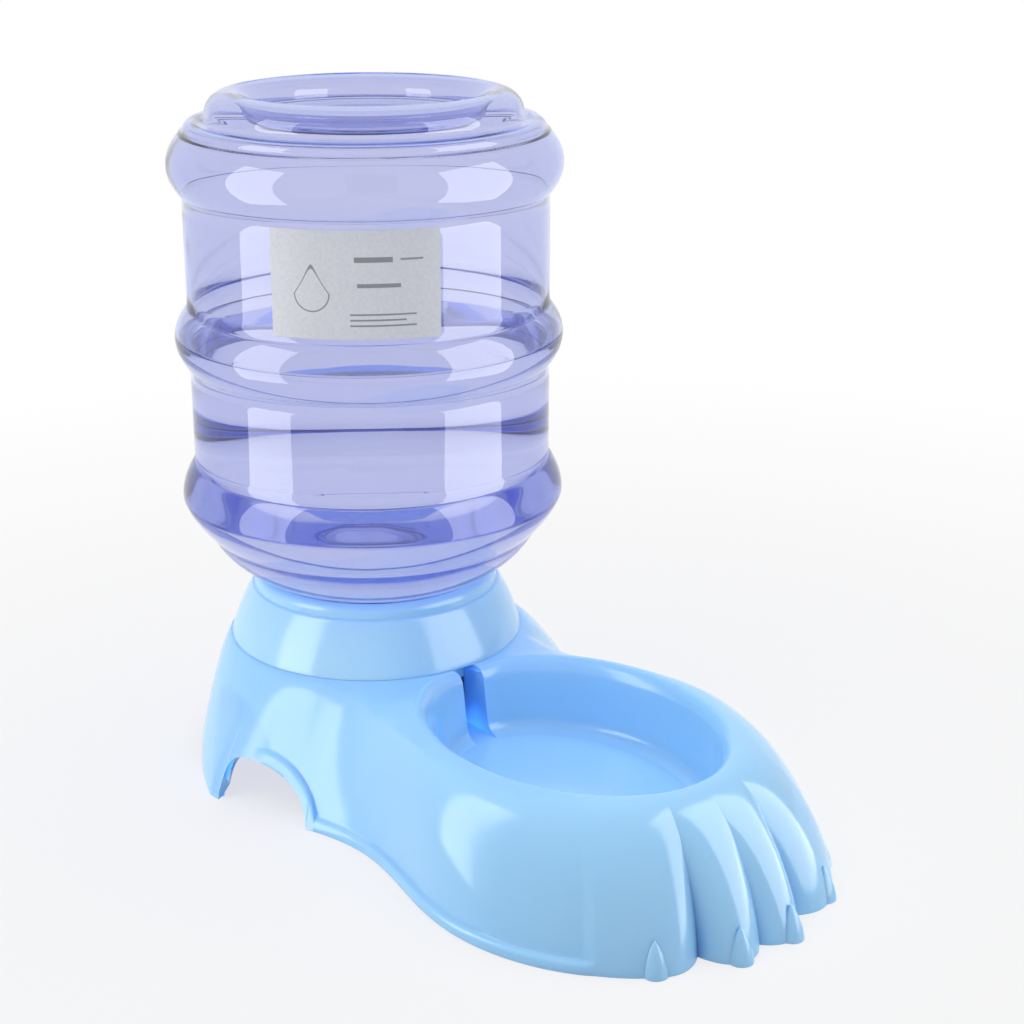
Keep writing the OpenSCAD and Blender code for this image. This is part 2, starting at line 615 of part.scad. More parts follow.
// The cage clips round the port and holds the spring's upper end
cage_in = port_r + port_wall;
cage_r = cage_in + guide_wall;
cage_leg_w = 3;
cage_leg_t = 1.4;
module valve_cage() {
    color(cap_white) on_axis() {
        ring(cage_in, cage_r, cap_z + cap_wall, port_top - cap_z - cap_wall - 0.5);
        for (a = [30, 150, 270]) rotate([0, 0, a])
            translate([cage_in + 0.3, -cage_leg_w / 2, port_top - 1.5])
                cube([cage_leg_t, cage_leg_w, cage_z + cage_t - port_top + 1.5]);
        ring(guide_r, cage_r, cage_z, cage_t);
    }
}
// Compression spring: one round wire on a helix whose ends lie flat
spring_steps = 8;
wire_sides = 6;
spring_z = disc_z + disc_t + wire_d / 2;
flat_turns = 0.25;
spring_n = round(spring_steps * spring_turns);
function spring_rise(turn) =
    min(1, max(0, (turn - flat_turns) / (spring_turns - 2 * flat_turns)));
function spring_point(i) =
    let (turn = i / spring_steps)
    [spring_r * cos(360 * turn), spring_r * sin(360 * turn),
     spring_z + (spring_len - wire_d) * spring_rise(turn)];
// Least gap between one curl of the wire and the next
spring_gap = min([for (i = [0:spring_n]) for (j = [i + spring_steps / 2:spring_n])
    norm(spring_point(i) - spring_point(j))]) - wire_d;
echo(spring_gap = spring_gap);
module valve_spring() {
    n = spring_n;
    points = [for (i = [0:n]) let (c = spring_point(i), d = [c[0], c[1], 0] / spring_r)
        for (k = [0:wire_sides - 1]) let (b = 360 * k / wire_sides)
        c + wire_d / 2 * (cos(b) * d + sin(b) * [0, 0, 1])];
    sides = [for (i = [0:n - 1]) for (k = [0:wire_sides - 1])
        let (a = wire_sides * i + k, b = wire_sides * i + (k + 1) % wire_sides,
             c = a + wire_sides, e = b + wire_sides) each [[a, e, c], [a, b, e]]];
    ends = [for (k = [1:wire_sides - 2]) each [[0, k + 1, k],
        [wire_sides * n + k, wire_sides * n + k + 1, wire_sides * n]]];
    color(steel) on_axis() polyhedron(points, concat(sides, ends), convexity = 6);
}

base_shell();
collar();
bottle();
bottle_label();
screw_cap();
cap_gasket();
valve_stem();
valve_seal();
valve_spring();
valve_cage();
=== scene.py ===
"""Gravity pet waterer: a tinted jug that stands upside down in the collar of a paw-shaped base.

The CAD frame gives place and size. The finer pieces below repeat part.scad's shapes with more
points. Lengths in the shape code are millimetres, and s is a distance ahead of the jug's axis.
"""
import math

import bpy
import numpy as np
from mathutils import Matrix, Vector


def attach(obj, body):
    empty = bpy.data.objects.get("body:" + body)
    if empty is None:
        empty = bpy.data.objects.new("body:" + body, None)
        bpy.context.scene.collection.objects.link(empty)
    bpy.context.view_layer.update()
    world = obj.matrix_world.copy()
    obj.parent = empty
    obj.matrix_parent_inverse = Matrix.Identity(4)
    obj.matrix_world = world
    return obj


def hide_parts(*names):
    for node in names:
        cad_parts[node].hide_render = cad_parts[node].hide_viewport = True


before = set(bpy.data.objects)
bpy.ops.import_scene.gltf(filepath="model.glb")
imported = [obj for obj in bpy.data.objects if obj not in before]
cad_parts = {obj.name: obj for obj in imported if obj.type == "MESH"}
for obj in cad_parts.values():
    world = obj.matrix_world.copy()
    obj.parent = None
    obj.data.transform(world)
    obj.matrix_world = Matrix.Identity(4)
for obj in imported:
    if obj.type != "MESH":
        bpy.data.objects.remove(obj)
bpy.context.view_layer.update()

MM = 0.001
scene = bpy.context.scene

# ---------------------------------------------------------------- values of part.scad
AXIS_Y = 85.15
FRONT_REACH, REAR_REACH = 253.0, 76.0
FOOT_AHEAD, FOOT_HALF_W = 14.0, 97.0
WAIST_AHEAD, WAIST_HALF_W = 98.0, 75.5
PAW_AHEAD, PAW_HALF_W = 164.0, 84.5
BASE_H, BASE_WALL = 49.5, 2.6
LIP_OUT, LIP_H = 2.6, 4.6
ARCH_H, ARCH_START, ARCH_PEAK, ARCH_END = 19.4, 20.0, 34.5, 65.5
REAR_ARCH_H, REAR_ARCH_BACK = 9.0, 22.0
GROOVE_X, TOE_EDGE_X, MID_GROOVE, SIDE_GROOVE = 26.0, 61.0, 6.5, 10.5
TOE_EDGE_IN, TOE_ROUND = 0.6, 2.2  # depth at the outer toe's edge, exponent of a toe's outline
CLAW_OUT, CLAW_H, CLAW_W = 2.0, 13.5, 10.0
DISH_AHEAD, DISH_HALF_L, DISH_HALF_W, DISH_FLOOR = 137.8, 70.6, 55.2, 21.0
CREST_UP, CREST_OUT, CREST_ANGLE = 2.2, 2.5, 30.0
SLOT_HALF, WELL_R, POST_H, POST_R = 5.5, 58.0, 12.0, 3.5
COLLAR_R, COLLAR_H, COLLAR_WALL, SEAT_R, SPIGOT_H = 64.5, 28.5, 2.6, 42.0, 8.0
BODY_R, RING_OUT = 76.9, 5.8
RINGS = [(115.0, 15.0), (185.0, 12.5), (257.5, 12.5)]  # middle and half height
RIM_Z, RIM_R, JUG_WALL, NECK_R = 287.0, 56.0, 1.8, 33.0
MOUTH_Z = 44.2
LABEL_W, LABEL_H, LABEL_TURN, LABEL_Z = 68.0, 43.0, 38.4, 221.25
THREAD_DEPTH, THREAD_PITCH, THREAD_TURNS, THREAD_START = 1.4, 5.0, 1.5, 5.5
THREAD_HALF, THREAD_FLANK = 1.15, 0.7  # half width at the root, width of a flank
LEDGE_R = COLLAR_R + 0.6
PAW_LEN = FRONT_REACH - CLAW_OUT - PAW_AHEAD


# ---------------------------------------------------------------- small helpers
def sin(a):
    return math.sin(math.radians(a))


def cos(a):
    return math.cos(math.radians(a))


def mix(a, b, t):
    return a + (b - a) * t


def ease(t):
    return (1 - cos(180 * t)) / 2


def clamp(t, low=0.0, high=1.0):
    return max(low, min(high, t))


def smooth_lookup(table, x):
    """A smooth curve through the table's points, without overshoot."""
    if x <= table[0][0]:
        return table[0][1]
    if x >= table[-1][0]:
        return table[-1][1]
    n = len(table)
    slopes = [(table[i + 1][1] - table[i][1]) / (table[i + 1][0] - table[i][0]) for i in range(n - 1)]
    tangents = [slopes[0]] + [
        0.0 if slopes[i - 1] * slopes[i] <= 0 else 2 * slopes[i - 1] * slopes[i] / (slopes[i - 1] + slopes[i])
        for i in range(1, n - 1)] + [slopes[-1]]
    i = max(k for k in range(n - 1) if table[k][0] <= x)
    h = table[i + 1][0] - table[i][0]
    t = (x - table[i][0]) / h
    return ((2 * t**3 - 3 * t**2 + 1) * table[i][1] + (t**3 - 2 * t**2 + t) * h * tangents[i]
            + (-2 * t**3 + 3 * t**2) * table[i + 1][1] + (t**3 - t**2) * h * tangents[i + 1])


def spline(points, steps):
    """A Catmull-Rom curve through the points, with that many steps between two of them."""
    p = [np.array(q, float) for q in points]
    p = [2 * p[0] - p[1]] + p + [2 * p[-1] - p[-2]]
    out = []
    for i in range(1, len(p) - 2):
        for k in range(steps):
            t = k / steps
            out.append(0.5 * (2 * p[i] + (p[i + 1] - p[i - 1]) * t
                              + (2 * p[i - 1] - 5 * p[i] + 4 * p[i + 1] - p[i + 2]) * t**2
                              + (3 * p[i] - p[i - 1] - 3 * p[i + 1] + p[i + 2]) * t**3))
    out.append(p[-2])
    return out


def build(name, points, faces, material, body, replaces=(), smooth=True):
    """A mesh piece from points in millimetres, riding on a body."""
    mesh = bpy.data.meshes.new(name)
    mesh.from_pydata([tuple(c * MM for c in p) for p in points], [], faces)
    mesh.validate()
    mesh.polygons.foreach_set("use_smooth", [smooth] * len(mesh.polygons))
    mesh.materials.append(material)
    obj = bpy.data.objects.new(name, mesh)
    scene.collection.objects.link(obj)
    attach(obj, body)
    if replaces:
        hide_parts(*replaces)
    return obj


def sharpen(obj, angle):
    """Keeps edges sharper than the angle crisp, and the rest smooth."""
    obj.data.set_sharp_from_angle(angle=math.radians(angle))


def lathe(profile, n=192, closed=True, radius_at=None):
    """Points and faces of a profile of (r, z) turned about the jug's axis. A point with r = 0 is a pole."""
    points, rows = [], []
    for k, (r, z) in enumerate(profile):
        if r < 1e-6:
            rows.append([len(points)] * n)
            points.append((0.0, AXIS_Y, z))
            continue
        rows.append(list(range(len(points), len(points) + n)))
        for i in range(n):
            a = 360 * i / n
            rr = radius_at(k, a, r, z) if radius_at else r
            points.append((rr * sin(a), AXIS_Y - rr * cos(a), z))
    faces = []
    count = len(rows)
    for k in range(count if closed else count - 1):
        a, b = rows[k], rows[(k + 1) % count]
        for i in range(n):
            j = (i + 1) % n
            quad = [a[i], a[j], b[j], b[i]]
            face = [v for m, v in enumerate(quad) if v != quad[m - 1]]
            if len(face) > 2:
                faces.append(face)
    return points, faces


# ---------------------------------------------------------------- camera
# Its place comes from a pinhole camera fitted to the photo's round features
IMAGE = 1024  # width of the photo in pixels
FOCAL = 2000  # focal length in the same pixels
SENSOR = 36
EYE_RIGHT, EYE_UP, EYE_BACK = 60.8, 96.8, 917  # from the foot of the jug's axis
TILT = math.radians(19.01)
RIGHT = Vector((0.784, -0.621, 0)).normalized()
AWAY = Vector((-RIGHT.y, RIGHT.x, 0))
VIEW = AWAY * math.cos(TILT) - Vector((0, 0, math.sin(TILT)))
UP = Vector((0, 0, math.cos(TILT))) + AWAY * math.sin(TILT)
eye = (Vector((0, AXIS_Y, 0)) + RIGHT * EYE_RIGHT + UP * EYE_UP - VIEW * EYE_BACK) * MM
camera_data = bpy.data.cameras.new("camera")
camera_data.sensor_width = SENSOR
camera_data.lens = SENSOR * FOCAL / IMAGE
camera_data.clip_start = 0.01
camera = bpy.data.objects.new("camera", camera_data)
camera.location = eye
camera.rotation_euler = VIEW.to_track_quat("-Z", "Y").to_euler()
scene.collection.objects.link(camera)
scene.camera = camera


# ---------------------------------------------------------------- materials
def new_material(name):
    material = bpy.data.materials.new(name)
    material.use_nodes = True
    nodes = material.node_tree.nodes
    return material, material.node_tree, nodes["Principled BSDF"], nodes["Material Output"]


def add(tree, kind, settings=None, **inputs):
    node = tree.nodes.new(kind)
    for key, value in (settings or {}).items():
        setattr(node, key, value)
    for key, value in inputs.items():
        node.inputs[key.replace("_", " ")].default_value = value
    return node


def noise_between(tree, scale, low, high, detail=3.0):
    """A noise in object coordinates, mapped to a range."""
    coords = add(tree, "ShaderNodeTexCoord")
    noise = add(tree, "ShaderNodeTexNoise", Scale=scale, Detail=detail)
    span = add(tree, "ShaderNodeMapRange", {"interpolation_type": "SMOOTHERSTEP"},
               From_Min=0.2, From_Max=0.8, To_Min=low, To_Max=high)
    tree.links.new(coords.outputs["Object"], noise.inputs["Vector"])
    tree.links.new(noise.outputs["Fac"], span.inputs["Value"])
    return span.outputs["Result"]


def colour_between(tree, factor, a, b):
    """The colour at that share of the way from a to b."""
    ramp = add(tree, "ShaderNodeMix", {"data_type": "RGBA"})
    ramp.inputs[6].default_value = (*a, 1)
    ramp.inputs[7].default_value = (*b, 1)
    tree.links.new(factor, ramp.inputs[0])
    return ramp.outputs[2]


def add_bump(tree, shader, scale, distance):
    """A faint unevenness of the surface, from a noise in object coordinates."""
    coords = add(tree, "ShaderNodeTexCoord")
    noise = add(tree, "ShaderNodeTexNoise", Scale=scale, Detail=2.0)
    bump = add(tree, "ShaderNodeBump", Strength=1.0, Distance=distance)
    tree.links.new(coords.outputs["Object"], noise.inputs["Vector"])
    tree.links.new(noise.outputs["Fac"], bump.inputs["Height"])
    tree.links.new(bump.outputs["Normal"], shader.inputs["Normal"])


def plastic(name, light, deep, rough, bump_scale=260.0, bump=0.00003, glow=0.0):
    """Moulded plastic: a slight change of shade and gloss, and a faint unevenness from the mould."""
    material, tree, shader, _ = new_material(name)
    factor = noise_between(tree, 9.0, 0.0, 1.0)
    tree.links.new(colour_between(tree, factor, light, deep), shader.inputs["Base Color"])
    tree.links.new(noise_between(tree, 35.0, rough * 0.9, rough * 1.1), shader.inputs["Roughness"])
    shader.inputs["IOR"].default_value = 1.49
    if glow:
        shader.inputs["Subsurface Weight"].default_value = glow
        shader.inputs["Subsurface Radius"].default_value = (0.6, 1.0, 1.6)
        shader.inputs["Subsurface Scale"].default_value = 0.004
    add_bump(tree, shader, bump_scale, bump)
    return material


def paint_glow_and_shade_where_closed(material, colour, strength, painted_shade_colour):
    """Painted glow and shade: slots get a painted glow by emission, standing in for the light that the
    plastic passes on from behind, and creases get painted shade, a deeper colour.

    How closed in a point is comes from the share of open directions within 14 mm.
    """
    tree = material.node_tree
    shader = tree.nodes["Principled BSDF"]
    # Painted glow: an emission whose strength rises where the point is closed in
    open_to = add(tree, "ShaderNodeAmbientOcclusion", {"samples": 8, "only_local": True}, Distance=14 * MM)
    span = add(tree, "ShaderNodeMapRange", From_Min=0.6, From_Max=0.25, To_Min=0.0, To_Max=strength)
    # The painted glow is only round the well, where y is over -20 mm: the grooves of the toes don't glow
    coords = add(tree, "ShaderNodeTexCoord")
    place = add(tree, "ShaderNodeSeparateXYZ")
    behind = add(tree, "ShaderNodeMapRange", From_Min=-20 * MM, From_Max=0.0)
    both = add(tree, "ShaderNodeMath", {"operation": "MULTIPLY"})
    shader.inputs["Emission Color"].default_value = (*colour, 1)
    tree.links.new(open_to.outputs["AO"], span.inputs["Value"])
    tree.links.new(coords.outputs["Object"], place.inputs[0])
    tree.links.new(place.outputs["Y"], behind.inputs["Value"])
    tree.links.new(span.outputs["Result"], both.inputs[0])
    tree.links.new(behind.outputs["Result"], both.inputs[1])
    tree.links.new(both.outputs[0], shader.inputs["Emission Strength"])
    # Painted shade: the base colour turns deeper where the point is closed in, in creases and grooves
    painted_crease_shade = add(tree, "ShaderNodeMapRange", From_Min=0.85, From_Max=0.35, To_Min=0.0, To_Max=0.7)
    tree.links.new(open_to.outputs["AO"], painted_crease_shade.inputs["Value"])
    plain = shader.inputs["Base Color"].links[0].from_socket
    deep = add(tree, "ShaderNodeMix", {"data_type": "RGBA"})
    deep.inputs[7].default_value = (*painted_shade_colour, 1)
    tree.links.new(painted_crease_shade.outputs["Result"], deep.inputs[0])
    tree.links.new(plain, deep.inputs[6])
    tree.links.new(deep.outputs[2], shader.inputs["Base Color"])


def clear_solid(name, tint, ior, absorb, density, shadow, bump=None):
    """Tinted clear plastic or water: it refracts, is deeper where it is thick, and casts a light shadow."""
    material, tree, shader, output = new_material(name)
    shader.inputs["Base Color"].default_value = (*tint, 1)
    shader.inputs["Transmission Weight"].default_value = 1.0
    shader.inputs["IOR"].default_value = ior
    tree.links.new(noise_between(tree, 30.0, 0.0, 0.02), shader.inputs["Roughness"])
    if bump:
        add_bump(tree, shader, *bump)
    light_path = add(tree, "ShaderNodeLightPath")
    either = add(tree, "ShaderNodeMath", {"operation": "MAXIMUM"})
    tree.links.new(light_path.outputs["Is Shadow Ray"], either.inputs[0])
    tree.links.new(light_path.outputs["Is Diffuse Ray"], either.inputs[1])
    through = add(tree, "ShaderNodeBsdfTransparent", Color=(*shadow, 1))
    blend = add(tree, "ShaderNodeMixShader")
    tree.links.new(either.outputs[0], blend.inputs[0])
    tree.links.new(shader.outputs[0], blend.inputs[1])
    tree.links.new(through.outputs[0], blend.inputs[2])
    tree.links.new(blend.outputs[0], output.inputs["Surface"])
    volume = add(tree, "ShaderNodeVolumeAbsorption", Color=(*absorb, 1), Density=density)
    tree.links.new(volume.outputs[0], output.inputs["Volume"])
    return material


base_blue = plastic("base_blue", (0.340, 0.650, 0.985), (0.330, 0.640, 0.980), 0.16, glow=0.2)
# Painted glow round the well and its slot, and painted shade in the creases and the toes' grooves
paint_glow_and_shade_where_closed(base_blue, (0.06, 0.28, 0.88), 1.3, painted_shade_colour=(0.11, 0.30, 0.60))
collar_blue = plastic("collar_blue", (0.430, 0.735, 0.990), (0.420, 0.725, 0.985), 0.16, glow=0.2)
jug_clear = clear_solid("jug_clear", (0.885, 0.845, 0.905), 1.50, (0.05, 0.35, 0.97), 120.0,
                        (0.95, 0.95, 0.98), bump=(18.0, 0.0004))
water_clear = clear_solid("water_clear", (1.0, 1.0, 1.0), 1.33, (0.55, 0.66, 0.98), 1.2, (0.99, 0.99, 1.0))
cap_white = plastic("cap_white", (0.80, 0.83, 0.87), (0.76, 0.79, 0.84), 0.36)
rubber = plastic("rubber", (0.10, 0.11, 0.12), (0.07, 0.08, 0.09), 0.62, bump_scale=900.0, bump=0.00006)


def spring_steel():
    """Drawn steel wire with a slight change of shade and gloss."""
    material, tree, shader, _ = new_material("spring_steel")
    factor = noise_between(tree, 60.0, 0.0, 1.0)
    tree.links.new(colour_between(tree, factor, (0.62, 0.62, 0.63), (0.50, 0.50, 0.52)),
                   shader.inputs["Base Color"])
    shader.inputs["Metallic"].default_value = 1.0
    tree.links.new(noise_between(tree, 300.0, 0.20, 0.34), shader.inputs["Roughness"])
    add_bump(tree, shader, 1500.0, 0.00001)
    return material


steel = spring_steel()


# ---------------------------------------------------------------- paw-shaped base
def half_width(s):
    """Half the width of the base's outline."""
    if s < FOOT_AHEAD:
        return FOOT_HALF_W
    if s < WAIST_AHEAD:
        return mix(FOOT_HALF_W, WAIST_HALF_W, ease((s - FOOT_AHEAD) / (WAIST_AHEAD - FOOT_AHEAD)))
    if s < PAW_AHEAD:
        return mix(WAIST_HALF_W, PAW_HALF_W, ease((s - WAIST_AHEAD) / (PAW_AHEAD - WAIST_AHEAD)))
    return PAW_HALF_W * math.sqrt(max(0.0, 1 - ((s - PAW_AHEAD) / PAW_LEN) ** 2))


def front_at(x):
    """How far ahead the outline of the paw runs at that x."""
    return PAW_AHEAD + PAW_LEN * math.sqrt(max(0.0, 1 - (x / PAW_HALF_W) ** 2))


def side_arch(s, grow=0.0):
    """Height of the arch in the side: steep at the back, a quarter ellipse in front."""
    u = (s - ARCH_PEAK) / (ARCH_PEAK - ARCH_START if s < ARCH_PEAK else ARCH_END - ARCH_PEAK + grow)
    if abs(u) >= 1:
        return 0.0
    return (ARCH_H + grow) * ((1 - (-u) ** 3) ** 0.2 if u < 0 else math.sqrt(1 - u * u))


def edge_z(s):
    """Height of the base's lower edge, with the side arch and the low arch at the rear."""
    if s >= FOOT_AHEAD:
        return side_arch(s)
    u = (s + REAR_REACH) / (REAR_REACH + FOOT_AHEAD - REAR_ARCH_BACK)
    return 0.0 if u >= 1 else REAR_ARCH_H * (1 - max(0.0, u) ** 2.5) ** 0.8


def lip_at(s):
    """How far the edge lip stands out: it starts at the top of the side arch."""
    return LIP_OUT * ease(clamp((s - ARCH_PEAK + 2) / 10))


def lip_top(s):
    return edge_z(s) + LIP_H if s < ARCH_PEAK else max(LIP_H, side_arch(s, LIP_H))


def toe_inset(x):
    """How deep the outline runs in between the toes at that x."""
    if x < GROOVE_X:
        u = 2 * x / GROOVE_X - 1
        return abs(u) ** TOE_ROUND * (MID_GROOVE if u < 0 else SIDE_GROOVE)
    u = 2 * (x - GROOVE_X) / (TOE_EDGE_X - GROOVE_X) - 1
    return min(1.0, abs(u)) ** TOE_ROUND * (SIDE_GROOVE if u < 0 else TOE_EDGE_IN)


# Exponents of the skirt's curve, by s: from a cone behind and over the feet to a belly round the dish
EXP_IN = [(-40, 1.0), (60, 1.0), (98, 1.5), (112, 2.0), (140, 1.9), (180, 1.7), (210, 1.7), (251, 1.6)]
EXP_UP = [(-40, 1.4), (34, 1.3), (60, 1.2), (98, 1.6), (112, 2.0), (140, 2.2), (180, 1.65), (210, 1.4),
          (251, 1.35)]
SHOULDER = [(-70, 0.0), (0, 4.0), (55, 4.0), (88, 0.0)]  # depth of the round under the ledge's edge
WEDGE_SHARE = 0.34  # share of the chord from the ledge to the dish that belongs to the ledge
TOE_BLEND = 4.0  # width of the soft step between the outer toe and the edge lip
FAN_HALF = 8  # half the stretch of outline at the waist whose columns fan out to the ledge and the dish
FAN_GAP = 0.3  # from the waist to the first column on either side of it


def ledge_angle(g):
    """Angle of a ground point round the jug's axis, from the rear."""
    return math.degrees(math.atan2(g[0], -g[1]))


def dish_angle(g):
    """Angle of a ground point round the dish's oval, from its rear end."""
    return math.degrees(math.atan2(g[0] / DISH_HALF_W, (DISH_AHEAD - g[1]) / DISH_HALF_L))


def base_columns():
    """Each column: ground point, angle round the ledge or dish, whether it ends at the dish, and the
    point of the chord that it crosses."""
    def at(s):
        return (half_width(s), s)

    out = []
    foot_r = math.hypot(FOOT_HALF_W, FOOT_AHEAD)
    foot_angle = math.degrees(math.atan2(FOOT_HALF_W, -FOOT_AHEAD))
    for i in range(32):
        a = foot_angle * i / 32
        r = mix(REAR_REACH, foot_r, (a / foot_angle) ** 4)
        out.append(((r * sin(a), -r * cos(a)), False))
    stops = [mix(FOOT_AHEAD, ARCH_START, k / 10) for k in range(10)]
    stops += [mix(ARCH_START, ARCH_PEAK, (k / 26) ** 2) for k in range(26)]
    stops += [mix(ARCH_PEAK, ARCH_END, sin(90 * k / 40)) for k in range(40)]
    stops += [mix(ARCH_END, ARCH_END + LIP_H, sin(90 * k / 12)) for k in range(12)]
    stops += [mix(ARCH_END + LIP_H, WAIST_AHEAD - FAN_HALF, k / 14) for k in range(14)]
    out += [(at(s), False) for s in stops]
    out = [(g, ledge_angle(g), dish, None) for g, dish in out]

    fan_start, fan_end, n = WAIST_AHEAD - FAN_HALF, WAIST_AHEAD + FAN_HALF, 14
    last_ledge, first_dish = ledge_angle(at(fan_start)), dish_angle(at(fan_end))
    slot_angle = math.degrees(math.asin(SLOT_HALF / LEDGE_R))
    dish_slot_angle = math.degrees(math.asin(SLOT_HALF / DISH_HALF_W))
    chord_a = np.array([LEDGE_R * sin(last_ledge), -LEDGE_R * cos(last_ledge)])
    chord_b = np.array([(DISH_HALF_W + CREST_OUT) * sin(first_dish),
                        DISH_AHEAD - (DISH_HALF_L + CREST_OUT) * cos(first_dish)])
    for i in range(n + 1):
        t = i / n
        out.append((at(mix(fan_start, WAIST_AHEAD - FAN_GAP, t)), mix(last_ledge, 180 - slot_angle, t), False,
                    mix(chord_a, chord_b, WEDGE_SHARE * t)))
    for i in range(n):
        t = i / n
        out.append((at(mix(WAIST_AHEAD + FAN_GAP, fan_end, t)), mix(dish_slot_angle, first_dish, t), True,
                    mix(chord_a, chord_b, mix(WEDGE_SHARE, 1, t))))

    ground = [at(mix(fan_end, PAW_AHEAD, i / 24)) for i in range(24)]
    start = math.degrees(math.asin((TOE_EDGE_X + TOE_BLEND) / PAW_HALF_W))
    for i in range(24):
        a = mix(90, start, i / 24)
        ground.append((PAW_HALF_W * sin(a), PAW_AHEAD + PAW_LEN * cos(a)))
    xs = [TOE_EDGE_X + TOE_BLEND * (1 - k / 12) for k in range(12)]
    xs += [mix(TOE_EDGE_X, GROOVE_X, ease(i / 48)) for i in range(48)]
    xs += [mix(GROOVE_X, 0, ease(i / 40)) for i in range(41)]
    ground += [(x, front_at(x)) for x in xs]
    out += [(g, dish_angle(g), True, None) for g in ground]
    return out


def pocket_at(c, d):
    """The point of the column's pocket, dish or well, that lies d inside its rim."""
    g, angle, dish, _ = c
    if dish:
        a, b = DISH_HALF_W - d, DISH_HALF_L - d
        x, t = a * sin(angle), min(1.0, SLOT_HALF / a)
        if x < SLOT_HALF and g[0] > 1e-6 and angle < 90:
            return np.array([SLOT_HALF, DISH_AHEAD - b * math.sqrt(1 - t * t)])
        return np.array([x, DISH_AHEAD - b * cos(angle)])
    r = LEDGE_R - d
    x = r * sin(angle)
    if x < SLOT_HALF and angle > 90:
        return np.array([SLOT_HALF, math.sqrt(r * r - SLOT_HALF**2)])
    return np.array([x, -r * cos(angle)])


def crest(c):
    """Share of the crest's rise round the dish: none at the slot."""
    return ease(min(1.0, c[1] / CREST_ANGLE)) if c[2] else 0.0


# Pocket profiles: distance inside the lip, height, share of the crest's rise
DISH_PROFILE = spline([(-CREST_OUT, BASE_H, 1), (-CREST_OUT + 1.6, BASE_H + 0.05, 1), (1, BASE_H - 0.5, 0.8),
                       (2.9, BASE_H - 2, 0.3), (4.2, BASE_H - 5.5, 0), (6.5, DISH_FLOOR + 7, 0),
                       (8.6, DISH_FLOOR + 2.2, 0), (13, DISH_FLOOR, 0)], 5)
LEDGE_W = LEDGE_R - WELL_R
WELL_PROFILE = ([(k * (LEDGE_W - 0.8) / 16, BASE_H, 0) for k in range(17)]
                + [(LEDGE_W - 0.8 + 0.8 * sin(a), BASE_H - 0.8 + 0.8 * cos(a), 0) for a in (30, 60, 90)]
                + [(LEDGE_W, mix(BASE_H - 0.8, DISH_FLOOR + 5, k / 8), 0) for k in range(1, 9)]
                + [(LEDGE_W + 5 - 5 * cos(a), DISH_FLOOR + 5 - 5 * sin(a), 0)
                   for a in (11, 22, 34, 45, 56, 68, 79, 90)])

# Edge lip: the share by which each row stands out, the share of the way from the lower edge to the
# lip's top, and the height over that
LIP_ROWS = [(0.88, 0, 0.0), (1.0, 0, 0.35), (1.0, 0.5, -0.6), (1.0, 1, -1.7), (0.93, 1, -1.0),
            (0.76, 1, -0.45), (0.5, 1, -0.1), (0.2, 1, 0.1), (0.0, 1, 0.45)]
SKIRT_ROWS = 34
SKIRT_END_ANGLE = 80.0
CREST_ROWS = 4  # rows between the skirt and the pocket's rim


def base_column(c):
    """The points of one column of the base's outer skin, from the ground edge to the floor of a pocket."""
    g = np.array(c[0])
    rise = crest(c)
    top = BASE_H + CREST_UP * rise
    t = pocket_at(c, -CREST_OUT * rise)
    aim = t if c[3] is None else c[3]
    reach = np.linalg.norm(aim - g)
    direction = (aim - g) / reach
    # 1 with the edge lip, 0 over the toes, with a soft step between them
    lip = 1.0 if g[1] < PAW_AHEAD else ease(clamp((g[0] - TOE_EDGE_X) / TOE_BLEND))
    toe = toe_inset(g[0]) if g[1] >= PAW_AHEAD else 0.0
    stand = lip_at(g[1])
    z0, z_lip = edge_z(g[1]), lip_top(g[1])
    p_in = smooth_lookup(EXP_IN, g[1])
    p_up = smooth_lookup(EXP_UP, g[1])
    shoulder = smooth_lookup(SHOULDER, g[1])

    def skirt(z, span):
        u = min(1.0, z / top)
        return ((span - shoulder) * (1 - (1 - u**p_up) ** (1 / p_in))
                + shoulder * (1 - math.sqrt(1 - u**10)))

    def on_skirt(a):
        z = top * sin(a) ** (2 / p_up)
        fade = mix(toe * cos(a) ** 0.6, stand * cos(a) ** 0.7, lip)
        p = g + direction * (fade + skirt(z, reach - fade))
        return (p[0], p[1], z)

    foot = mix(toe, stand, lip)
    points = []
    for out, share, up in LIP_ROWS:
        z = mix(z0, z_lip, share) + up
        p = g + direction * (foot - out * stand * lip + skirt(z, reach - foot))
        points.append((p[0], p[1], z))
    start = math.degrees(math.asin((points[-1][2] / top) ** (p_up / 2)))
    points += [on_skirt(mix(start, SKIRT_END_ANGLE, k / SKIRT_ROWS)) for k in range(1, SKIRT_ROWS + 1)]
    # From the last skirt row the surface rounds over to the pocket's rim
    last, last_z = np.array(points[-1][:2]), points[-1][2]
    for share in (k / (CREST_ROWS + 1) for k in range(1, CREST_ROWS + 1)):
        if c[3] is None:
            points.append(on_skirt(mix(SKIRT_END_ANGLE, 90, share)))
        else:
            p = mix(last, t, share)
            points.append((p[0], p[1], mix(last_z, top, 1 - (1 - share) ** 3)))
    if c[2]:
        for d, z, share in DISH_PROFILE:
            p = pocket_at(c, d if d > 0 else d * rise)
            points.append((p[0], p[1], z + share * CREST_UP * rise))
    else:
        for d, z, _ in WELL_PROFILE:
            p = pocket_at(c, d)
            points.append((p[0], p[1], z))
    return points


def soften(grid, columns, rows, passes):
    """Rounds creases: each point of the region moves towards the middle of its four neighbours."""
    (c0, c1), (r0, r1) = columns, rows
    weight = np.zeros(grid.shape[:2] + (1,))
    for i in range(c0, c1 + 1):
        for j in range(r0, r1 + 1):
            weight[i, j] = min(1, (i - c0) / 8, (c1 - i) / 8) * min(1, (j - r0) / 8, (r1 - j) / 2)
    for _ in range(passes):
        middle = (np.roll(grid, 1, 0) + np.roll(grid, -1, 0) + np.roll(grid, 1, 1) + np.roll(grid, -1, 1)) / 4
        grid += weight * 0.8 * (middle - grid)


